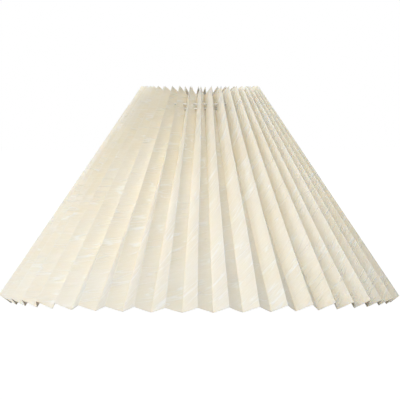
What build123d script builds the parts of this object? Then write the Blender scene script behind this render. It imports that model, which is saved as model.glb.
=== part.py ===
from build123d import *

# A pleated lamp shade: two accordion-pleated strips of laminated fabric on a welded wire carrier.
#
# Each strip is cut to a plain rectangle and folded into pleats of one width. Its folds run down the
# slope and its cut edges are square to them, so the outer folds stand higher than the inner ones at
# both edges. A drawstring through every panel gathers the top, and draws the notches in the inner
# folds on to the carrier's upper hoop. The lower hoop keeps the inner folds apart.
#
# Millimetres, +Z up. The origin is the centre of the lampholder hole, on the underside of the
# socket ring. Angles go round from the front (-Y) towards +X.

import os
from math import atan2, cos, pi, radians, sin, sqrt
from random import Random

os.makedirs("parts", exist_ok=True)

# Pleats
PLEATS = 44                 # round the whole shade
PANEL = 18.5                # from one fold to the next, on the flat sheet
FOLD_LENGTH = 265.0
SHEET = 0.5                 # thickness of the laminated fabric
INNER_TOP_R = 46.2          # the inner folds' radius at the top edge
INNER_LOW_R = 200.6         # and at the bottom edge
TOP_Z = 32.0                # height of the inner folds' top ends
LEAN = radians(34.5)        # slope of the shade from the vertical

# How unevenly hand-gathered pleats lie: a turn of the whole edge, the most that a slow drift moves a
# fold, where that drift has a peak, and the most that one fold strays on its own
TOP_LAY = (radians(0.9), radians(4.8), radians(32.0), radians(1.3))
LOW_LAY = (radians(-1.6), radians(1.8), radians(20.0), radians(0.3))
DRIFT_WAVES = 3             # times round the shade
STRAY_SEED = 11

# Seams: each strip's first panel is taped over the other strip's last one
SEAMS = (10, 32)            # the inner folds where the strips begin, at the two sides
RAW_EDGE = 4.5              # from a strip's raw edge to the nearest fold
TAPE = 0.14
TAPE_GAP = 0.2              # between the layers that it joins, at the edges
TAPE_FROM, TAPE_TO = 8.2, 12.2

# Carrier
WIRE_R = 1.5
WELD_BITE = 0.3             # how far welded wires sink into each other
NOTCH_DOWN = 18.0           # from the top edge to the notches, along a fold
NOTCH_DEPTH = 2.5           # from an inner fold out to the upper hoop's centre
NOTCH_R = 1.7
NOTCH_MOUTH = 4.0           # how far the notch's cutter runs inside the folds
LOWER_DOWN = 228.0          # from the top edge to the lower hoop
HOOP_GAP = 0.3              # between the inner folds and the lower hoop
SPOKES = 4
ARM_PLEAT = 2               # the first outer folds that hold an arm and a stay
STAY_PLEAT = 7
STAY_END = 3.0              # how far a stay runs past each hoop
ARM_END = 0.8               # how far an arm runs past the upper hoop
ARM_LEVEL = 9.0             # length of an arm's level end
ARM_BEND_R = 5.0

# Socket ring
HOLE_R = 20.5
RING_R = 28.0
RING_PLATE = 1.5
SKIRT = 5.0                 # how far its rim turns down
RING_ROUND = 1.2

# Drawstring
CORD_R = 0.8
CORD_DOWN = 14.5            # from the top edge, along a fold
CORD_OUT = 6.2              # from the inner folds out
CORD_HOLE_R = 1.25
KNOT_PLEAT = 26             # the inner fold in whose groove it is tied, at the back
KNOT_OUT = 7.0              # from the cord's ring out
KNOT_R = 1.9
TAIL = 17.0
TAIL_SPREAD = radians(1.3)

PITCH = 2 * pi / PLEATS
LOW_Z = TOP_Z - sqrt(FOLD_LENGTH**2 - (INNER_LOW_R - INNER_TOP_R) ** 2)

stray = Random(STRAY_SEED)
STRAYS = [(stray.uniform(-1, 1), stray.uniform(-1, 1)) for _ in range(PLEATS)]


def polar(radius, angle, height):
    return Vector(radius * sin(angle), -radius * cos(angle), height)


def profile(radius, height):
    """A point of the shade's profile, which is drawn in the XZ plane."""
    return Vector(radius, 0, height)


DOWN = profile(sin(LEAN), -cos(LEAN))       # down the slope
OUT = profile(cos(LEAN), sin(LEAN))         # square to the slope


# Folds

def inner_angle(index, low):
    even = (index + 0.5) * PITCH
    turn, drift, peak, most = LOW_LAY if low else TOP_LAY
    own = most * STRAYS[index % PLEATS][int(low)]
    return even + turn + drift * cos(DRIFT_WAVES * (even - peak)) + own


def inner_fold(index, low):
    radius, height = (INNER_LOW_R, LOW_Z) if low else (INNER_TOP_R, TOP_Z)
    return polar(radius, inner_angle(index, low), height)


def outer_depth(radius, half_angle):
    """How far an outer fold lies out from its two inner folds, if both panels keep their width."""
    flat = 1 - cos(half_angle)
    reach = radius * cos(LEAN) * flat
    return sqrt(reach**2 + PANEL**2 - 2 * radius**2 * flat) - reach


def outer_fold(index, low):
    """The outer fold between inner folds index - 1 and index."""
    radius, height = (INNER_LOW_R, LOW_Z) if low else (INNER_TOP_R, TOP_Z)
    before, after = inner_angle(index - 1, low), inner_angle(index, low)
    depth = outer_depth(radius, (after - before) / 2)
    return polar(radius + depth * cos(LEAN), (before + after) / 2, height + depth * sin(LEAN))


def seam_point(seam, low, along, lift):
    """A point on the seam's panel: along it from its inner fold, and lifted outwards."""
    inner, outer = inner_fold(seam, low), outer_fold(seam + 1, low)
    across = (outer - inner).normalized()
    down = (inner_fold(seam, True) - inner_fold(seam, False)).normalized()
    return inner + across * along + down.cross(across).normalized() * lift


def strip_points(first, last, low):
    """The middle of the sheet at one edge of a strip: raw edge, every fold, raw edge."""
    lap = (SHEET + TAPE_GAP) * (PANEL - RAW_EDGE) / PANEL
    points = [seam_point(first, low, RAW_EDGE, lap), outer_fold(first + 1, low)]
    for index in range(first + 1, last):
        points += [inner_fold(index, low), outer_fold(index + 1, low)]
    return points + [inner_fold(last, low), seam_point(last, low, PANEL - RAW_EDGE, -lap)]


# Folded sheets

def offset_points(points, folds, away):
    """The points moved off the sheet by away, with a mitre at each fold."""
    normals = [
        (
            fold_before.cross(b - a).normalized(),
            fold_after.cross(b - a).normalized(),
        )
        for a, b, fold_before, fold_after in zip(points, points[1:], folds, folds[1:])
    ]
    moved = []
    for index, point in enumerate(points):
        before = normals[max(index - 1, 0)][1 if index > 0 else 0]
        after = normals[min(index, len(normals) - 1)][0 if index < len(normals) else 1]
        middle = (before + after).normalized()
        moved.append(point + middle * (away / middle.dot(before)))
    return moved


def cubic(ends):
    """Bezier points of the cubic through four points that stand a third of the way apart."""
    a, b, c, d = ends
    return [a, (a * -5 + b * 18 - c * 9 + d * 2) / 6, (a * 2 - b * 9 + c * 18 - d * 5) / 6, d]


def folded_sheet(top, low, thickness):
    """A closed solid of the sheet that spans two edges with the same folds."""
    folds = [(b - a).normalized() for a, b in zip(top, low)]
    levels = [[a + (b - a) * (step / 3) for a, b in zip(top, low)] for step in range(4)]
    outer = [offset_points(level, folds, thickness / 2) for level in levels]
    inner = [offset_points(level, folds, -thickness / 2) for level in levels]
    outer_lines = [cubic(line) for line in zip(*outer)]
    inner_lines = [cubic(line) for line in zip(*inner)]
    faces = []
    for lines in (outer_lines, inner_lines):
        faces += [Face.make_bezier_surface(pair) for pair in zip(map(list, lines), lines[1:])]
    for end in (0, -1):
        faces.append(Face.make_bezier_surface([outer_lines[end], inner_lines[end]]))
        rim = [(a[end], b[end]) for a, b in zip(outer_lines, inner_lines)]
        faces += [Face.make_bezier_surface([list(a), list(b)]) for a, b in zip(rim, rim[1:])]
    solid = Solid(Shell(faces))
    return solid if solid.volume > 0 else -solid


def down_inner_fold(down):
    share = down / FOLD_LENGTH
    return profile(
        INNER_TOP_R + (INNER_LOW_R - INNER_TOP_R) * share,
        TOP_Z + (LOW_Z - TOP_Z) * share,
    )


def hoop(centre, radius):
    return Pos(0, 0, centre.Z) * Torus(centre.X, radius)


UPPER_HOOP = down_inner_fold(NOTCH_DOWN) + OUT * NOTCH_DEPTH
LOWER_MITRE = SHEET / 2 * PANEL / (down_inner_fold(LOWER_DOWN).X * PITCH / 2)
LOWER_HOOP = down_inner_fold(LOWER_DOWN) - OUT * (LOWER_MITRE + HOOP_GAP + WIRE_R)
CORD = down_inner_fold(CORD_DOWN) + OUT * CORD_OUT


def notches():
    """A slot round the shade that opens each inner fold on to the upper hoop."""
    mouth = UPPER_HOOP - OUT * (NOTCH_DEPTH + NOTCH_MOUTH)
    side = DOWN * NOTCH_R
    corners = [UPPER_HOOP + side, mouth + side, mouth - side, UPPER_HOOP - side]
    slot = make_face(Polyline(*corners, close=True))
    return revolve(slot, Axis.Z) + hoop(UPPER_HOOP, NOTCH_R)


def pleated_strip(first, last):
    sheet = folded_sheet(
        strip_points(first, last, False), strip_points(first, last, True), SHEET
    )
    return sheet - notches() - hoop(CORD, CORD_HOLE_R)


def seam_tape(seam):
    def edge(low):
        lap = (SHEET + TAPE_GAP) / PANEL
        return [
            seam_point(seam, low, along, lap * (PANEL / 2 - along))
            for along in (TAPE_FROM, TAPE_TO)
        ]

    return folded_sheet(edge(False), edge(True), TAPE)


# Carrier

def round_the_axis(solid, angle):
    """Turn a solid that was drawn in the XZ plane to an angle from the front."""
    return Rot(0, 0, -90 + angle * 180 / pi) * solid


def outer_angle(index):
    """Where the pleat at an outer fold stands at the upper hoop."""
    top, low = outer_fold(index, False), outer_fold(index, True)
    point = top + (low - top) * (NOTCH_DOWN / FOLD_LENGTH)
    return atan2(point.X, -point.Y)


def wire(path):
    start = path @ 0
    return sweep(Plane(origin=start, z_dir=path % 0) * Circle(WIRE_R), path=path)


def stay(index):
    run = (LOWER_HOOP - UPPER_HOOP).normalized()
    inwards = Vector(run.Z, 0, -run.X) * (2 * WIRE_R - WELD_BITE)
    path = Line(UPPER_HOOP - run * STAY_END + inwards, LOWER_HOOP + run * STAY_END + inwards)
    return round_the_axis(wire(path), outer_angle(index))


def arm(index):
    tip = UPPER_HOOP + profile(ARM_END, WELD_BITE - 2 * WIRE_R)
    foot_r = RING_R + WIRE_R - WELD_BITE
    path = FilletPolyline(
        tip,
        tip - profile(ARM_LEVEL, 0),
        profile(foot_r, RING_PLATE + WIRE_R + 1),
        profile(foot_r, 0.5 - SKIRT),
        radius=ARM_BEND_R,
    )
    return round_the_axis(wire(path), outer_angle(index))


def socket_ring():
    plate = Cylinder(RING_R, RING_PLATE, align=(Align.CENTER, Align.CENTER, Align.MIN))
    skirt = Cylinder(RING_R, SKIRT, align=(Align.CENTER, Align.CENTER, Align.MAX))
    body = plate + skirt
    body = fillet(body.edges().group_by(Axis.Z)[-1], RING_ROUND)
    body -= Cylinder(RING_R - RING_PLATE, SKIRT, align=(Align.CENTER, Align.CENTER, Align.MAX))
    return body - Cylinder(HOLE_R, 4 * SKIRT)


# Drawstring

def tube(start, end):
    path = Line(start, end)
    return sweep(Plane(origin=start, z_dir=path % 0) * Circle(CORD_R), path=path)


def drawstring():
    """A ring whose two ends leave a groove one above the other, and are knotted."""
    angle = inner_angle(KNOT_PLEAT, False)
    tied = CORD + OUT * KNOT_OUT
    knot = polar(tied.X, angle, tied.Z)
    solid = hoop(CORD, CORD_R) + Pos(*knot) * Sphere(KNOT_R)
    for side in (-1, 1):
        rise = Vector(0, 0, side * CORD_R)
        solid += tube(polar(CORD.X, angle, CORD.Z) + rise, knot + rise)
        solid += tube(
            knot,
            polar(
                tied.X + TAIL * sin(LEAN) + KNOT_R,
                angle + side * TAIL_SPREAD,
                tied.Z - TAIL * cos(LEAN),
            ),
        )
    return solid


def save(solid, name):
    export_step(solid, f"parts/{name}.step")


first_seam, second_seam = SEAMS
save(pleated_strip(second_seam - PLEATS, first_seam), "front_pleats")
save(pleated_strip(first_seam, second_seam), "rear_pleats")
save(seam_tape(first_seam), "seam_tape_right")
save(seam_tape(second_seam), "seam_tape_left")
save(hoop(UPPER_HOOP, WIRE_R), "upper_hoop")
save(hoop(LOWER_HOOP, WIRE_R), "lower_hoop")
for number in range(SPOKES):
    pleat = number * PLEATS // SPOKES
    save(arm(ARM_PLEAT + pleat), f"arm_{number + 1}")
    save(stay(STAY_PLEAT + pleat), f"stay_{number + 1}")
save(socket_ring(), "socket_ring")
save(drawstring(), "drawstring")
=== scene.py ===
from math import atan2, cos, pi, radians, sin, tan
from random import Random

import bmesh
import bpy
import numpy as np
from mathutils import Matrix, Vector


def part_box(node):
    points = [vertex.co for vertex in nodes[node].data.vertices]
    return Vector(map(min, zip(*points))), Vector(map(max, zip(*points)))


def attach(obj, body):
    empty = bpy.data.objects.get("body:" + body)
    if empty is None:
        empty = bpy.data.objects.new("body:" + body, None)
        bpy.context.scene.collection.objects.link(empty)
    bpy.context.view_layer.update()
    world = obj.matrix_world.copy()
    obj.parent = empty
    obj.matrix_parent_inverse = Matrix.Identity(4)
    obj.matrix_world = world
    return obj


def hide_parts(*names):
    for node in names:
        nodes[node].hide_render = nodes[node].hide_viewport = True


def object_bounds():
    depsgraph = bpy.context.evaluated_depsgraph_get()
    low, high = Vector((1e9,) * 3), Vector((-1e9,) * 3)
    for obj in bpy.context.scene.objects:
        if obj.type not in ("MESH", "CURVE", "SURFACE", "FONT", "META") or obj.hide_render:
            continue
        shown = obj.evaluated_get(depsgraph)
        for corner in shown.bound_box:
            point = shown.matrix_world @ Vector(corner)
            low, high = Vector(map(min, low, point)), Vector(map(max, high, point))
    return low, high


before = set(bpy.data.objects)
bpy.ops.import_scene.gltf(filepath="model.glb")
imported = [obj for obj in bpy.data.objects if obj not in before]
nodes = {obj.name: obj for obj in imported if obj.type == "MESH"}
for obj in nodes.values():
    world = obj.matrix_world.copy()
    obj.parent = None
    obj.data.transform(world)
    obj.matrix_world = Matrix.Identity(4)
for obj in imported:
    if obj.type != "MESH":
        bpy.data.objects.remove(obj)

# The pleated cover, its drawstring, and the finishes of the wire carrier. Metres, +Z up, as in the
# frame. Angles go round from the front (-Y) towards +X.

cad_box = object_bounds()

# Pleats, as in the CAD model
PLEATS = 44
PANEL = 0.0185              # from one fold to the next
FOLD_LENGTH = 0.265
SHEET = 0.0005              # thickness
INNER_TOP_R = 0.0462
INNER_LOW_R = 0.2006
TOP_Z = 0.032
LEAN = radians(34.5)        # how far the way out of an inner fold points up

# How the inner folds' ends lie off an even spacing: turn, drift, the drift's peak, own stray
TOP_LAY = (radians(0.9), radians(4.8), radians(32.0), radians(1.3))
LOW_LAY = (radians(-1.6), radians(1.8), radians(20.0), radians(0.3))
DRIFT_WAVES = 3             # round the shade
STRAY_SEED = 11

# The two laps, each on the panel after one of these inner folds
SEAMS = (10, 32)
RAW_EDGE = 0.0045           # from a strip's cut edge to the other strip's fold
LAYER_GAP = 0.0002

# Notches on the upper hoop, and the drawstring
NOTCH_DOWN = 0.018
NOTCH_DEPTH = 0.0025
NOTCH_R = 0.0017
NOTCH_MOUTH = 0.004
CORD_DOWN = 0.0145
CORD_OUT = 0.0062
CORD_R = 0.0008
CORD_HOLE_R = 0.00125
KNOT_PLEAT = 26
KNOT_OUT = 0.007
KNOT_R = 0.0019
TAIL = 0.017
TAIL_SPREAD = radians(1.3)

# The wire carrier, as in the CAD model
WIRE_R = 0.0015
WELD_BITE = 0.0003          # how far two welded wires overlap
RING_R = 0.028              # the socket ring's rim, where the arms end

PITCH = 2 * pi / PLEATS
LOW_Z = TOP_Z - (FOLD_LENGTH**2 - (INNER_LOW_R - INNER_TOP_R) ** 2) ** 0.5

# The sheet's mesh: the rows run square to the folds, and the faces slant along the creases
STEPS = 4                   # columns to a panel
ROWS = 215                  # down a fold
SLANT = 2                   # rows that a face climbs from one column to the next
BLUNT = 1.5                 # how far a fold's outside stands out, in half thicknesses
CUT_STEPS = 6 * PLEATS      # facets of a cutter, round the shade
ARC_STEPS = 12              # and in its profile
SHARP = radians(38)         # edges that bend more than this aren't shaded smooth

# How the panels give
BOW_SEED = 5
BOW_OUTER = 0.0006          # the most that a fold bows sideways
BOW_INNER = 0.0003
SAG = 0.0005                # how far a panel hollows between its folds
BULGE = 0.0003              # how much that varies
SAG_AT_ENDS = 0.4           # the hollow's share at the top and bottom edges

# Crushed creases in the sheet, in metres on the flat sheet
CREASE_SLOPE = radians(30.0)
CREASE_TURN = radians(8)    # how far single creases stray from the slope
CREASES_PER_M2 = 5000
CREASE_HEIGHT = 0.00024
LEAST_HEIGHT = 0.15         # the lowest crease's share of that
CREASE_SIDES = (1, 1, 1, -0.8)      # one crease in four is a dent
CREASE_WIDTH = 0.0015
WIDTH_SPREAD = (0.7, 1.5)
CREASE_HALF_LENGTH = (0.006, 0.021)
CREASE_BEND = 6             # the most that a crease curves, per metre
CREASES_ON_LAP = 0.2        # their share of height where a seam is pressed flat

# Broad swells along the creases
SWELLS = 14
SWELL_TURN = radians(9)
SWELL_HEIGHT = 0.00008
SWELL_LENGTH = (0.009, 0.03)        # from one crest to the next
SWELL_BEAT = (0.02, 0.05)   # how slowly a swell comes and goes along its crest

# The cord's strands
STRANDS = 3
STRAND_OUT = 0.55 * CORD_R      # from the cord's middle to a strand's
STRAND_R = 0.53 * CORD_R
LAY_LENGTH = 0.0045             # one turn of the strands
TURN_STEPS = 10                 # points to a turn, in the ring
NECK_STEPS = 24
TAIL_STEPS = 60
TAIL_SAG = 0.0006
FRAY = 0.7                      # a tail's tip opens by this share of its width
FRAY_POWER = 8                  # the higher, the nearer to the tip the opening starts
NECK_GAP = 0.6                  # what the necks keep of their distance at the knot
KNOT_STEPS = 48
KNOT_TURNS = 9
KNOT_SHAPE = (0.36, 0.36, 0.55)     # the trefoil's scale across and up, in knot radii
KNOT_TIGHT = 0.75               # how far it is then pulled together
KNOT_STRAND = 0.8               # strands thin a little where they are pulled tight

# Weld beads: half sizes, and the height of those on the socket ring
BEAD_SEED = 8
BEAD_LUMPS = 6
LUMP_HEIGHT = (-0.2, 0.3)   # in bead sizes
STAY_BEAD = (0.0014, 0.0014, 0.0014)
ARM_BEAD = (0.0015, 0.0015, 0.0010)
RING_BEAD = (0.0015, 0.0015, 0.0021)
RING_BEAD_Z = -0.0022

# The fabric's colours. The deep one also paints shade into the inner folds, and the pale ones also
# paint highlights on the creases and outer folds
CREAM = (0.922, 0.875, 0.765)
CREAM_DEEP = (0.897, 0.838, 0.695)
CREAM_PALE = (0.965, 0.93, 0.845)
CREASE_PALE_AND_HIGHLIGHT = (0.99, 0.965, 0.90)

# Light and camera. The camera is level with the top edge and far off, as in a catalogue
LAMPS = (
    # name, place, size, watts, colour
    ("key", (-2.7, -2.7, 1.9), 1.5, 38, (0.92, 0.96, 1.14)),
    ("fill", (-0.8, -4.35, 1.3), 2.5, 62, (1, 0.98, 0.95)),
    ("rear", (0.9, 3.6, 2.4), 2.5, 80, (1, 1, 1)),
    ("top", (0, -0.5, 1.4), 1.2, 5.2, (0.98, 0.98, 1)),
)
INSIDE_WATTS = 0.2
INSIDE_SOFT_R = 0.04
INSIDE_UP = 0.06            # above the bottom edge
SKY = 0.36
FLOOR_HALF = 9
FLOOR_GAP = 0.0005
FLOOR_WHITE = 1.12          # how bright the camera sees the floor
FLOOR_SHARE = 0.88          # and how far that white covers its shading
CAMERA_AWAY = 3.824
CAMERA_AIM_DOWN = 0.1194
FRAME_WIDTH = 0.420         # what the picture's width takes in, at the shade's axis
SENSOR = 36

stray = Random(STRAY_SEED)
STRAYS = [(stray.uniform(-1, 1), stray.uniform(-1, 1)) for _ in range(PLEATS)]
bow = Random(BOW_SEED)
BOWS = [[bow.uniform(-1, 1) for _ in range(4)] for _ in range(PLEATS)]
share = np.linspace(0, 1, ROWS + 1)[:, None]     # down a fold, for each row


def unit(vectors):
    return vectors / np.linalg.norm(vectors, axis=-1, keepdims=True)


def dot(a, b):
    return (a * b).sum(axis=-1, keepdims=True)


def polar(radius, angle, height):
    return np.array([radius * sin(angle), -radius * cos(angle), height])


def profile(down, out):
    """(radius, height) of a point so far down the inner folds, and out from them."""
    run = down / FOLD_LENGTH
    radius = INNER_TOP_R + (INNER_LOW_R - INNER_TOP_R) * run + out * cos(LEAN)
    return radius, TOP_Z + (LOW_Z - TOP_Z) * run + out * sin(LEAN)


# The folds

def inner_angle(index, low):
    even = (index + 0.5) * PITCH
    turn, drift, peak, most = LOW_LAY if low else TOP_LAY
    own = most * STRAYS[index % PLEATS][int(low)]
    return even + turn + drift * cos(DRIFT_WAVES * (even - peak)) + own


def inner_end(index, low):
    radius, height = (INNER_LOW_R, LOW_Z) if low else (INNER_TOP_R, TOP_Z)
    return polar(radius, inner_angle(index, low), height)


def outer_end(index, low):
    """The end of the outer fold before an inner fold, a panel's width from both neighbours."""
    radius, height = (INNER_LOW_R, LOW_Z) if low else (INNER_TOP_R, TOP_Z)
    before, after = inner_angle(index - 1, low), inner_angle(index, low)
    flat = 1 - cos((after - before) / 2)
    reach = radius * cos(LEAN) * flat
    depth = (reach**2 + PANEL**2 - 2 * radius**2 * flat) ** 0.5 - reach
    return polar(radius + depth * cos(LEAN), (before + after) / 2, height + depth * sin(LEAN))


def fold_line(top, low, once, twice):
    """The points of a fold for each row, bowed sideways by two waves."""
    angle = atan2(low[0], -low[1])
    sideways = np.array([cos(angle), sin(angle), 0])
    bowed = once * np.sin(pi * share) + twice * np.sin(2 * pi * share)
    return top + (low - top) * share + sideways * bowed


def inner_line(index):
    once, twice = (BOW_INNER * draw for draw in BOWS[index % PLEATS][:2])
    return fold_line(inner_end(index, False), inner_end(index, True), once, twice)


def outer_line(index):
    once, twice = (BOW_OUTER * draw for draw in BOWS[index % PLEATS][2:])
    return fold_line(outer_end(index, False), outer_end(index, True), once, twice)


def seam_line(seam, along, lift):
    """A line on the seam's panel: along it from its inner fold, and lifted outwards."""
    inner, outer = inner_line(seam), outer_line(seam + 1)
    across = unit(outer - inner)
    return inner + across * along + unit(np.cross(inner[-1] - inner[0], across)) * lift


# The crushed surface of the flat sheet

def crease_field(us, vs, draw):
    """Heights over a grid of the flat sheet: broad swells, and long thin creases along one slope."""
    along_u, along_v = cos(CREASE_SLOPE), -sin(CREASE_SLOPE)
    grid_u, grid_v = us[:, None], vs[None, :]
    heights = np.zeros((len(us), len(vs)))
    for _ in range(SWELLS):
        turn = CREASE_SLOPE + draw.gauss(0, SWELL_TURN)
        length = draw.uniform(*SWELL_LENGTH)
        phase = draw.uniform(0, 2 * pi)
        across = grid_u * sin(turn) + grid_v * cos(turn)
        along = grid_u * cos(turn) - grid_v * sin(turn)
        beat = np.sin(along / draw.uniform(*SWELL_BEAT) + draw.uniform(0, 2 * pi))
        heights += SWELL_HEIGHT * np.sin(2 * pi * across / length + phase) * (1 + beat) / 2
    for _ in range(int(CREASES_PER_M2 * (us[-1] - us[0]) * vs[-1])):
        u, v = draw.uniform(us[0], us[-1]), draw.uniform(0, vs[-1])
        half = draw.uniform(*CREASE_HALF_LENGTH)
        width = CREASE_WIDTH * draw.uniform(*WIDTH_SPREAD)
        height = CREASE_HEIGHT * draw.uniform(LEAST_HEIGHT, 1.0) ** 1.5 * draw.choice(CREASE_SIDES)
        turn, bend = draw.gauss(0, CREASE_TURN), draw.uniform(-CREASE_BEND, CREASE_BEND)
        c0, c1 = np.searchsorted(us, (u - half, u + half))
        r0, r1 = np.searchsorted(vs, (v - half, v + half))
        du, dv = grid_u[c0:c1] - u, grid_v[:, r0:r1] - v
        run = du * along_u + dv * along_v
        off = dv * along_u - du * along_v + run * tan(turn) + bend * run**2
        fade = np.clip(1 - (run / half) ** 2, 0, None) ** 2
        heights[c0:c1, r0:r1] += height * np.exp(-((off / width) ** 2)) * fade
    return heights


# The pleated strips

def strip_surfaces(first, last, draw):
    """(outside points, inside points, flat u of each column) of a strip, by column and row."""
    lap = (SHEET + LAYER_GAP) * (PANEL - RAW_EDGE) / PANEL
    lines = [seam_line(first, RAW_EDGE, lap), outer_line(first + 1)]
    for index in range(first + 1, last):
        lines += [inner_line(index), outer_line(index + 1)]
    lines += [inner_line(last), seam_line(last, PANEL - RAW_EDGE, -lap)]
    panels = len(lines) - 1
    flats = [RAW_EDGE] + [PANEL * n for n in range(1, panels)] + [PANEL * panels - RAW_EDGE]
    spans = [np.linspace(flats[p], flats[p + 1], STEPS + 1)[:-1] for p in range(panels)]
    us = np.concatenate(spans + [flats[-1:]])

    heights = crease_field(us, share[:, 0] * FOLD_LENGTH, draw)
    heights[:STEPS] *= CREASES_ON_LAP
    heights[-STEPS:] *= CREASES_ON_LAP
    outside = np.zeros((len(us), ROWS + 1, 3))
    inside = np.zeros_like(outside)
    ends = []
    for p in range(panels):
        a, b = lines[p], lines[p + 1]
        down_a, down_b = np.gradient(a, axis=0), np.gradient(b, axis=0)
        taped = p in (0, panels - 1)
        bulge = 0 if taped else BULGE * draw.uniform(-1, 1) - SAG
        normals = []
        for step in range(STEPS + 1):
            t = step / STEPS
            normal = unit(np.cross(down_a + (down_b - down_a) * t, b - a))
            normals.append(normal)
            swell = bulge * 4 * t * (1 - t) * (SAG_AT_ENDS + (1 - SAG_AT_ENDS) * np.sin(pi * share))
            middle = a + (b - a) * t + normal * swell
            column = p * STEPS + step
            lift = heights[column][:, None]
            if 0 < step < STEPS or column in (0, len(us) - 1):
                outside[column] = middle + normal * (lift + SHEET / 2)
                inside[column] = middle + normal * (lift - SHEET / 2)
        ends.append((normals[0], normals[-1]))

    # At a fold the two panels' layers meet: sharp in the hollow, blunt on the crest
    for p in range(1, panels):
        before, after = ends[p - 1][1], ends[p][0]
        middle = unit(before + after)
        hollow = SHEET / 2 / dot(middle, before)
        crest = np.minimum(hollow, BLUNT * SHEET / 2)
        is_outer = p % 2 == 1
        outside[p * STEPS] = lines[p] + middle * (crest if is_outer else hollow)
        inside[p * STEPS] = lines[p] - middle * (hollow if is_outer else crest)
    return outside, inside, us


def slanted_faces(columns, start, flip):
    """Faces of one layer, climbing SLANT rows from each column to the next, with its edges square."""
    def at(column, row):
        return start + column * (ROWS + 1) + row

    faces = []
    for c in range(columns - 1):
        for r in range(SLANT):
            faces.append((at(c, r), at(c, r + 1), at(c + 1, 0)))
            low = ROWS - SLANT + r
            faces.append((at(c, ROWS), at(c + 1, low + 1), at(c + 1, low)))
        for r in range(SLANT, ROWS):
            up = r - SLANT
            faces.append((at(c, r), at(c, r + 1), at(c + 1, up + 1), at(c + 1, up)))
    return [face[::-1] for face in faces] if flip else faces


def rim_faces(columns, layer):
    """The faces round the cut edges, between the outside layer and the inside one."""
    rows = ROWS + 1
    ring = [c * rows for c in range(columns)]
    ring += [(columns - 1) * rows + r for r in range(1, rows)]
    ring += [c * rows + ROWS for c in range(columns - 2, -1, -1)]
    ring += list(range(ROWS - 1, 0, -1))
    return [(a, b, b + layer, a + layer) for a, b in zip(ring, ring[1:] + ring[:1])]


def linked(name, data):
    """A new object in the scene."""
    obj = bpy.data.objects.new(name, data)
    bpy.context.scene.collection.objects.link(obj)
    return obj


def mesh_object(name, points, faces):
    mesh = bpy.data.meshes.new(name)
    mesh.from_pydata([tuple(p) for p in points], [], faces)
    mesh.validate()
    return linked(name, mesh)


def turned(name, outline):
    """A solid of revolution from an outline of (radius, height) points."""
    count = len(outline)
    points = []
    faces = []
    for step in range(CUT_STEPS):
        points += [polar(r, 2 * pi * step / CUT_STEPS, z) for r, z in outline]
        here, there = step * count, (step + 1) % CUT_STEPS * count
        for k in range(count):
            after = (k + 1) % count
            faces.append((here + k, here + after, there + after, there + k))
    return mesh_object(name, points, faces)


def arc(centre, radius, start=0.0, sweep=2 * pi):
    """Points of an arc in the (radius, height) plane, clockwise."""
    r, z = centre
    angles = [start - sweep * k / ARC_STEPS for k in range(ARC_STEPS)]
    return [(r + radius * cos(a), z + radius * sin(a)) for a in angles]


def notch_outline():
    """A slot with a round end on the upper hoop, open to the inside."""
    end = arc(profile(NOTCH_DOWN, NOTCH_DEPTH), NOTCH_R, pi / 2 + LEAN, pi)
    end.append(profile(NOTCH_DOWN + NOTCH_R, NOTCH_DEPTH))
    mouth = [profile(NOTCH_DOWN + side * NOTCH_R, -NOTCH_MOUTH) for side in (1, -1)]
    return end + mouth


def cut(obj, cutters):
    for cutter in cutters:
        modifier = obj.modifiers.new("cut", "BOOLEAN")
        modifier.object = cutter
        modifier.solver = "MANIFOLD"
    bpy.context.view_layer.update()
    evaluated = obj.evaluated_get(bpy.context.evaluated_depsgraph_get())
    mesh = bpy.data.meshes.new_from_object(evaluated)
    obj.modifiers.clear()
    obj.data = mesh


def pleated_strip(name, first, last, seed, cutters):
    outside, inside, us = strip_surfaces(first, last, Random(seed))
    columns, layer = len(us), len(us) * (ROWS + 1)
    points = np.concatenate([outside.reshape(-1, 3), inside.reshape(-1, 3)])
    outer_faces, inner_faces = slanted_faces(columns, 0, False), slanted_faces(columns, layer, True)
    strip = mesh_object(name, points, outer_faces + inner_faces + rim_faces(columns, layer))
    mesh = strip.data
    backing = np.arange(len(mesh.polygons)) >= len(outer_faces)
    mesh.materials.append(FABRIC)
    mesh.materials.append(BACKING)
    mesh.polygons.foreach_set("material_index", backing.astype(int))
    flat_u = np.tile(np.repeat(us, ROWS + 1), 2)
    flat_v = np.tile(share[:, 0] * FOLD_LENGTH, columns * 2)
    corners = np.zeros(len(mesh.loops), int)
    mesh.loops.foreach_get("vertex_index", corners)
    uv = mesh.uv_layers.new(name="Flat")
    uv.data.foreach_set("uv", np.stack([flat_u[corners], flat_v[corners]], axis=1).ravel())
    cut(strip, cutters)
    strip.data.shade_smooth()
    strip.data.set_sharp_from_angle(angle=SHARP)
    return strip


# Materials

def material(name):
    made = bpy.data.materials.new(name)
    made.use_nodes = True
    return made, made.node_tree, made.node_tree.nodes["Principled BSDF"]


def node(tree, kind, **settings):
    made = tree.nodes.new(kind)
    for key, value in settings.items():
        if key in made.inputs:
            made.inputs[key].default_value = value
        else:
            setattr(made, key, value)
    return made


def feed(tree, socket, value):
    """Links a node's output to a socket, or sets the socket to a plain value."""
    if isinstance(value, bpy.types.NodeSocket):
        tree.links.new(value, socket)
    else:
        socket.default_value = value


def ramp(tree, source, *stops):
    """Grey or coloured stops over a value."""
    made = tree.nodes.new("ShaderNodeValToRGB")
    elements = made.color_ramp.elements
    while len(elements) < len(stops):
        elements.new(0.5)
    for element, (place, color) in zip(elements, stops):
        element.position = place
        element.color = (*color, 1) if isinstance(color, tuple) else (color, color, color, 1)
    tree.links.new(source, made.inputs["Fac"])
    return made.outputs["Color"]


def bump(tree, height, distance, strength, under=None):
    made = node(tree, "ShaderNodeBump", Distance=distance, Strength=strength)
    tree.links.new(height, made.inputs["Height"])
    if under is not None:
        tree.links.new(under, made.inputs["Normal"])
    return made.outputs["Normal"]


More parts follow.
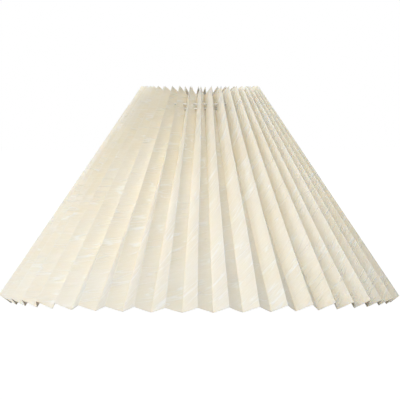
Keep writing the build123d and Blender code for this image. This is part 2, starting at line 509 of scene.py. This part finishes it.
def noise(tree, vector, scale, detail, **inputs):
    made = node(tree, "ShaderNodeTexNoise", Scale=scale, Detail=detail, **inputs)
    tree.links.new(vector, made.inputs["Vector"])
    return made.outputs["Fac"]


def mix_color(tree, factor, a, b):
    made = node(tree, "ShaderNodeMix", data_type="RGBA")
    feed(tree, made.inputs["Factor"], factor)
    feed(tree, made.inputs[6], a)       # the colour sockets A and B
    feed(tree, made.inputs[7], b)
    return made.outputs[2]


def combine(tree, operation, a, b):
    made = node(tree, "ShaderNodeMath", operation=operation)
    feed(tree, made.inputs[0], a)
    feed(tree, made.inputs[1], b)
    return made.outputs[0]


def own_place(tree):
    return node(tree, "ShaderNodeTexCoord").outputs["Object"]


def along_creases(tree):
    """The flat sheet's coordinates, and a function that scales them along and across its creases."""
    uv = node(tree, "ShaderNodeUVMap", uv_map="Flat")
    turned_uv = node(tree, "ShaderNodeMapping", Rotation=(0, 0, CREASE_SLOPE))
    tree.links.new(uv.outputs["UV"], turned_uv.inputs["Vector"])

    def stretched(along, across, shift=0.0):
        made = node(
            tree, "ShaderNodeMapping", Scale=(along, across, 1), Location=(shift, shift, shift)
        )
        tree.links.new(turned_uv.outputs["Vector"], made.inputs["Vector"])
        return made.outputs["Vector"]

    return uv.outputs["UV"], stretched


def see_through(shader):
    """Lets light through a thin sheet."""
    shader.inputs["Subsurface Weight"].default_value = 1.0
    shader.inputs["Subsurface Radius"].default_value = (1.0, 0.92, 0.78)
    shader.inputs["Subsurface Scale"].default_value = 0.0003


def pleat_fabric():
    """Cream crushed fabric: fine parallel lines and thin sharp creases, painted paler as partly
    whitening and partly painted highlight, outer folds painted paler the same way, and inner folds
    painted darker as painted shade.
    """
    made, tree, shader = material("pleat_fabric")
    uv, stretched = along_creases(tree)
    fibre = noise(tree, stretched(120, 1900), 1.0, 3.0)
    crush = noise(tree, stretched(30, 330), 1.0, 3.0, Roughness=0.55)
    swell = noise(tree, stretched(12, 75, 3.0), 1.0, 2.0)
    sharp = noise(tree, stretched(15, 120, 7.0), 1.0, 1.0, Distortion=0.1)
    spots = noise(tree, stretched(22, 45, 11.0), 1.0, 1.0)

    # Thin lines where a noise passes its middle, and the sharpest creases only in spots. Both are
    # painted paler below: partly the whitening of a crease, partly a painted highlight where a ridge
    # catches the light
    thin = ramp(tree, crush, (0.0, 0.0), (0.45, 0.0), (0.5, 1.0), (0.55, 0.0), (1.0, 0.0))
    crest = ramp(tree, sharp, (0.0, 0.0), (0.47, 0.0), (0.5, 1.0), (0.53, 0.0), (1.0, 0.0))
    crest = combine(tree, "MULTIPLY", crest, ramp(tree, spots, (0.44, 0.0), (0.52, 1.0)))

    # u runs from an inner fold at 0 to an outer fold at PANEL, and back
    split = node(tree, "ShaderNodeSeparateXYZ")
    tree.links.new(uv, split.inputs[0])
    place = combine(tree, "PINGPONG", split.outputs[0], PANEL)
    place = combine(tree, "DIVIDE", place, PANEL)
    # Paler at the outer folds: partly the whitening of a sharp fold, partly a painted highlight along
    # the crest
    outer_fold_pale_and_highlight = ramp(tree, place, (0.94, 0.0), (1.0, 1.0))
    # Darker cream in the inner folds: painted shade in the hollows of the pleats
    inner_fold_shade = ramp(tree, place, (0.0, 1.0), (0.10, 0.0))

    patches = noise(tree, stretched(9, 16, 5.0), 1.0, 2.0)
    tone = mix_color(tree, ramp(tree, patches, (0.3, 0.0), (0.7, 1.0)), (*CREAM_DEEP, 1), (*CREAM, 1))
    # Over the cream: paler thin lines, creases and outer folds, partly whitening and partly painted
    # highlight; darker inner folds, painted shade
    for where, weight, color in (
        (thin, 0.35, CREAM_PALE),
        (crest, 0.8, CREASE_PALE_AND_HIGHLIGHT),
        (outer_fold_pale_and_highlight, 0.5, CREAM_PALE),
        (inner_fold_shade, 0.6, CREAM_DEEP),
    ):
        tone = mix_color(tree, combine(tree, "MULTIPLY", where, weight), tone, (*color, 1))
    tree.links.new(tone, shader.inputs["Base Color"])
    normal = bump(tree, fibre, 0.00003, 0.5)
    normal = bump(tree, swell, 0.0008, 0.6, normal)
    normal = bump(tree, thin, 0.00012, 0.6, normal)
    normal = bump(tree, crest, 0.0003, 1.0, normal)
    tree.links.new(normal, shader.inputs["Normal"])
    tree.links.new(ramp(tree, crush, (0.3, 0.42), (0.7, 0.6)), shader.inputs["Roughness"])
    shader.inputs["Specular IOR Level"].default_value = 0.35
    see_through(shader)
    return made


def pleat_backing():
    """The stiff white foil behind the fabric, which shows at the cut edges and inside."""
    made, tree, shader = material("pleat_backing")
    _, stretched = along_creases(tree)
    press = noise(tree, stretched(20, 150, 3.0), 1.0, 3.0)
    grain = noise(tree, stretched(700, 900, 1.0), 1.0, 2.0)
    tone = ramp(tree, press, (0.3, (0.85, 0.80, 0.69)), (0.7, (0.90, 0.86, 0.75)))
    tree.links.new(tone, shader.inputs["Base Color"])
    normal = bump(tree, press, 0.0006, 0.5)
    normal = bump(tree, grain, 0.00005, 0.4, normal)
    tree.links.new(normal, shader.inputs["Normal"])
    shader.inputs["Roughness"].default_value = 0.45
    shader.inputs["Specular IOR Level"].default_value = 0.4
    see_through(shader)
    return made


def zinc_plate():
    """Dull plated wire: cloudy patches, fine drawing marks and a little tarnish."""
    made, tree, shader = material("zinc_plate")
    place = own_place(tree)
    cloud = noise(tree, place, 220.0, 3.0)
    marks = noise(tree, place, 2600.0, 2.0)
    tarnish = noise(tree, place, 45.0, 4.0)
    tone = ramp(tree, cloud, (0.3, (0.60, 0.585, 0.54)), (0.7, (0.74, 0.72, 0.67)))
    stain = ramp(tree, tarnish, (0.52, 0.0), (0.75, 0.5))
    tone = mix_color(tree, stain, tone, (0.44, 0.40, 0.33, 1))
    tree.links.new(tone, shader.inputs["Base Color"])
    tree.links.new(bump(tree, marks, 0.00005, 0.5), shader.inputs["Normal"])
    tree.links.new(ramp(tree, cloud, (0.3, 0.34), (0.7, 0.5)), shader.inputs["Roughness"])
    shader.inputs["Metallic"].default_value = 1.0
    return made


def cord_white():
    """Twisted white cotton with a little fluff."""
    made, tree, shader = material("cord_white")
    fluff = noise(tree, own_place(tree), 4000.0, 3.0)
    tone = ramp(tree, fluff, (0.3, (0.80, 0.79, 0.75)), (0.7, (0.93, 0.92, 0.89)))
    tree.links.new(tone, shader.inputs["Base Color"])
    tree.links.new(bump(tree, fluff, 0.0001, 0.5), shader.inputs["Normal"])
    shader.inputs["Roughness"].default_value = 0.8
    return made


def tape_clear():
    """Smeared adhesive on a clear tape, as it looks against the cream sheet."""
    made, tree, shader = material("tape_clear")
    smear = noise(tree, own_place(tree), 300.0, 3.0)
    tone = ramp(tree, smear, (0.3, (0.78, 0.75, 0.66)), (0.7, (0.84, 0.81, 0.72)))
    tree.links.new(tone, shader.inputs["Base Color"])
    shader.inputs["Roughness"].default_value = 0.35
    return made


# The drawstring: three twisted strands in a ring, whose ends leave a groove and are knotted

def tube(name, paths, radius, cyclic=False):
    curve = bpy.data.curves.new(name, "CURVE")
    curve.dimensions = "3D"
    curve.bevel_depth = radius
    curve.bevel_resolution = 2
    for path in paths:
        spline = curve.splines.new("POLY")
        spline.points.add(len(path) - 1)
        for point, place in zip(spline.points, path):
            point.co = (*place, 1)
        spline.use_cyclic_u = cyclic
    curve.materials.append(CORD_WHITE)
    return linked(name, curve)


def strands(line, turns, closed=False):
    """Paths that twist about a line of points."""
    line = np.array(line)
    before, after = np.roll(line, 1, axis=0), np.roll(line, -1, axis=0)
    if not closed:
        before[0], after[-1] = line[0], line[-1]
    run = unit(after - before)
    side = unit(np.cross(run, (0.03, 0.02, 1.0)))       # no part of the cord runs that way
    up = np.cross(side, run)
    steps = len(line) if closed else len(line) - 1
    paths = []
    for strand in range(STRANDS):
        twist = 2 * pi * (np.arange(len(line)) * turns / steps + strand / STRANDS)[:, None]
        paths.append(line + STRAND_OUT * (side * np.cos(twist) + up * np.sin(twist)))
    return paths


def line_points(start, end, steps, sag=0.0):
    """Points from one end to the other, with an even sag."""
    run = np.linspace(0, 1, steps)[:, None]
    return start + (end - start) * run - np.array([0, 0, sag]) * 4 * run * (1 - run)


def frayed(paths, middle):
    """The same strands with their last stretch opened out."""
    opened = []
    for path in paths:
        away = np.linspace(0, 1, len(path))[:, None] ** FRAY_POWER
        opened.append(path + (path - middle) * away * FRAY)
    return opened


def trefoil():
    turn = np.linspace(0, 2 * pi, KNOT_STEPS, endpoint=False)
    x = np.sin(turn) + 2 * np.sin(2 * turn)
    y = np.cos(turn) - 2 * np.cos(2 * turn)
    return np.stack([x, y, -np.sin(3 * turn)], axis=1)


def drawstring():
    """(the ring, the knot, the two ends with their necks)"""
    radius, height = profile(CORD_DOWN, CORD_OUT)
    turns = round(2 * pi * radius / LAY_LENGTH)
    steps = turns * TURN_STEPS
    ring = [polar(radius, 2 * pi * k / steps, height) for k in range(steps)]
    angle = inner_angle(KNOT_PLEAT, False)
    tied_radius, tied_height = profile(CORD_DOWN, CORD_OUT + KNOT_OUT)
    knot = polar(tied_radius, angle, tied_height)
    ends = []
    for side in (-1, 1):
        rise = np.array([0, 0, side * CORD_R])
        neck = line_points(polar(radius, angle, height) + rise, knot + rise * NECK_GAP, NECK_STEPS)
        ends += strands(neck, side * KNOT_OUT / LAY_LENGTH)
        tip = polar(
            tied_radius + TAIL * sin(LEAN) + KNOT_R,
            angle + side * TAIL_SPREAD,
            tied_height - TAIL * cos(LEAN),
        )
        tail = line_points(knot, tip, TAIL_STEPS, TAIL_SAG)
        ends += frayed(strands(tail, side * TAIL / LAY_LENGTH), tail)
    loop = knot + trefoil() * np.array(KNOT_SHAPE) * KNOT_R * KNOT_TIGHT
    return (
        tube("cord_ring", strands(ring, turns, True), STRAND_R, True),
        tube("cord_knot", strands(loop, KNOT_TURNS, True), STRAND_R * KNOT_STRAND, True),
        tube("cord_ends", ends, STRAND_R),
    )


# Weld beads where the carrier's wires meet

def node_angle(name):
    """The angle at which a wire that lies in one upright plane stands."""
    low_corner, high_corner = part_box(name)
    x = max(low_corner[0], high_corner[0], key=abs)
    y = max(low_corner[1], high_corner[1], key=abs)
    return atan2(x, -y)


def bead(bm, centre, size, draw):
    """A lumpy blob of weld metal."""
    blob = bmesh.ops.create_icosphere(bm, subdivisions=3, radius=1.0)["verts"]
    lumps = []
    for _ in range(BEAD_LUMPS):
        toward = Vector([draw.gauss(0, 1) for _ in range(3)]).normalized()
        lumps.append((toward, draw.uniform(*LUMP_HEIGHT)))
    for vertex in blob:
        way = vertex.co.normalized()
        swell = 1 + sum(height * max(0, way.dot(at)) ** 3 for at, height in lumps)
        vertex.co = Vector(centre) + Vector([a * b * swell for a, b in zip(way, size)])


def weld_beads():
    bm = bmesh.new()
    draw = Random(BEAD_SEED)
    half = WIRE_R - WELD_BITE / 2
    hoop_r, hoop_z = profile(NOTCH_DOWN, NOTCH_DEPTH)
    low_box, high_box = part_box("lower_hoop")
    low_r, low_z = high_box[0] - WIRE_R, (low_box[2] + high_box[2]) / 2
    run = unit(np.array([low_r - hoop_r, low_z - hoop_z]))
    inward = np.array([run[1], -run[0]]) * half
    for number in range(1, 5):
        angle = node_angle(f"stay_{number}")
        for r, z in ((hoop_r, hoop_z), (low_r, low_z)):
            bead(bm, polar(r + inward[0], angle, z + inward[1]), STAY_BEAD, draw)
    for number in range(1, 5):
        angle = node_angle(f"arm_{number}")
        bead(bm, polar(hoop_r, angle, hoop_z - half), ARM_BEAD, draw)
        bead(bm, polar(RING_R, angle, RING_BEAD_Z), RING_BEAD, draw)
    mesh = bpy.data.meshes.new("weld_beads")
    bm.to_mesh(mesh)
    bm.free()
    mesh.shade_smooth()
    mesh.materials.append(ZINC)
    return linked("weld_beads", mesh)


# The pieces

FABRIC = pleat_fabric()
BACKING = pleat_backing()
ZINC = zinc_plate()
CORD_WHITE = cord_white()
TAPE_CLEAR = tape_clear()


def finish_nodes(names, finish):
    for name in names:
        nodes[name].data.materials.clear()
        nodes[name].data.materials.append(finish)


def add(piece, slot, *replaced):
    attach(piece, "root")
    if replaced:
        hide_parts(*replaced)
    return piece


finish_nodes([n for n in nodes if n.startswith(("arm", "stay"))], ZINC)
finish_nodes(["upper_hoop", "lower_hoop", "socket_ring"], ZINC)
finish_nodes(["seam_tape_left", "seam_tape_right"], TAPE_CLEAR)

cutters = [
    turned("notch_cutter", notch_outline()),
    turned("hole_cutter", arc(profile(CORD_DOWN, CORD_OUT), CORD_HOLE_R)),
]
for name, cad_node, first, last, seed in (
    ("front_cover", "front_pleats", SEAMS[1] - PLEATS, SEAMS[0], 21),
    ("rear_cover", "rear_pleats", SEAMS[0], SEAMS[1], 22),
):
    strip = add(pleated_strip(name, first, last, seed, cutters), "pleat_fabric", cad_node)
for cutter in cutters:
    bpy.data.objects.remove(cutter)

cord_ring, cord_knot, cord_ends = drawstring()
add(cord_ring, "drawstring", "drawstring")
add(cord_knot, "drawstring")
add(cord_ends, "drawstring")
add(weld_beads(), "carrier")


# Floor, light and camera

def area_light(name, place, aim, size, energy, color):
    data = bpy.data.lights.new(name, "AREA")
    data.size = size
    data.energy = energy
    data.color = color
    obj = linked(name, data)
    obj.location = place
    obj.rotation_euler = (Vector(aim) - Vector(place)).to_track_quat("-Z", "Y").to_euler()


def seen_white(tree, under, strength, share):
    """Adds plain white to a shader, for what the camera sees directly."""
    glow = node(tree, "ShaderNodeEmission", Strength=strength)
    path = tree.nodes.new("ShaderNodeLightPath")
    seen = combine(tree, "MULTIPLY", path.outputs["Is Camera Ray"], share)
    blend = tree.nodes.new("ShaderNodeMixShader")
    tree.links.new(seen, blend.inputs[0])
    tree.links.new(under, blend.inputs[1])
    tree.links.new(glow.outputs[0], blend.inputs[2])
    return blend.outputs[0]


low, high = cad_box
middle = Vector((0, 0, (low[2] + high[2]) / 2))
corners = ((-1, -1), (1, -1), (1, 1), (-1, 1))
floor = mesh_object(
    "floor",
    [(x * FLOOR_HALF, y * FLOOR_HALF, low[2] - FLOOR_GAP) for x, y in corners],
    [(0, 1, 2, 3)],
)
pale, pale_tree, pale_shader = material("floor_pale")
pale_shader.inputs["Base Color"].default_value = (0.6, 0.6, 0.6, 1)
pale_shader.inputs["Roughness"].default_value = 0.9
pale_out = pale_tree.nodes["Material Output"].inputs["Surface"]
pale_tree.links.new(seen_white(pale_tree, pale_shader.outputs[0], FLOOR_WHITE, FLOOR_SHARE), pale_out)
floor.data.materials.append(pale)

for name, place, size, watts, color in LAMPS:
    area_light(name, place, middle, size, watts, color)

# A weak light inside, for what a white table throws back up
inside = bpy.data.lights.new("inside", "POINT")
inside.energy = INSIDE_WATTS
inside.shadow_soft_size = INSIDE_SOFT_R
inside_lamp = linked("inside", inside)
inside_lamp.location = (0, 0, low[2] + INSIDE_UP)
inside_lamp.visible_camera = False

world = bpy.data.worlds.new("studio")
world.use_nodes = True
sky = world.node_tree.nodes["Background"]
sky.inputs["Color"].default_value = (1, 1, 1, 1)
sky.inputs["Strength"].default_value = SKY
world_out = world.node_tree.nodes["World Output"].inputs["Surface"]
world.node_tree.links.new(seen_white(world.node_tree, sky.outputs[0], 1.0, 1.0), world_out)
scene = bpy.context.scene
scene.world = world
scene.view_settings.view_transform = "Standard"

outer_top = outer_end(1, False)[2]
lens_data = bpy.data.cameras.new("camera")
lens_data.sensor_width = SENSOR
lens_data.lens = SENSOR * CAMERA_AWAY / FRAME_WIDTH
camera = linked("camera", lens_data)
camera.location = (0, -CAMERA_AWAY, outer_top)
aim = Vector((0, 0, outer_top - CAMERA_AIM_DOWN)) - camera.location
camera.rotation_euler = aim.to_track_quat("-Z", "Y").to_euler()
scene.camera = camera
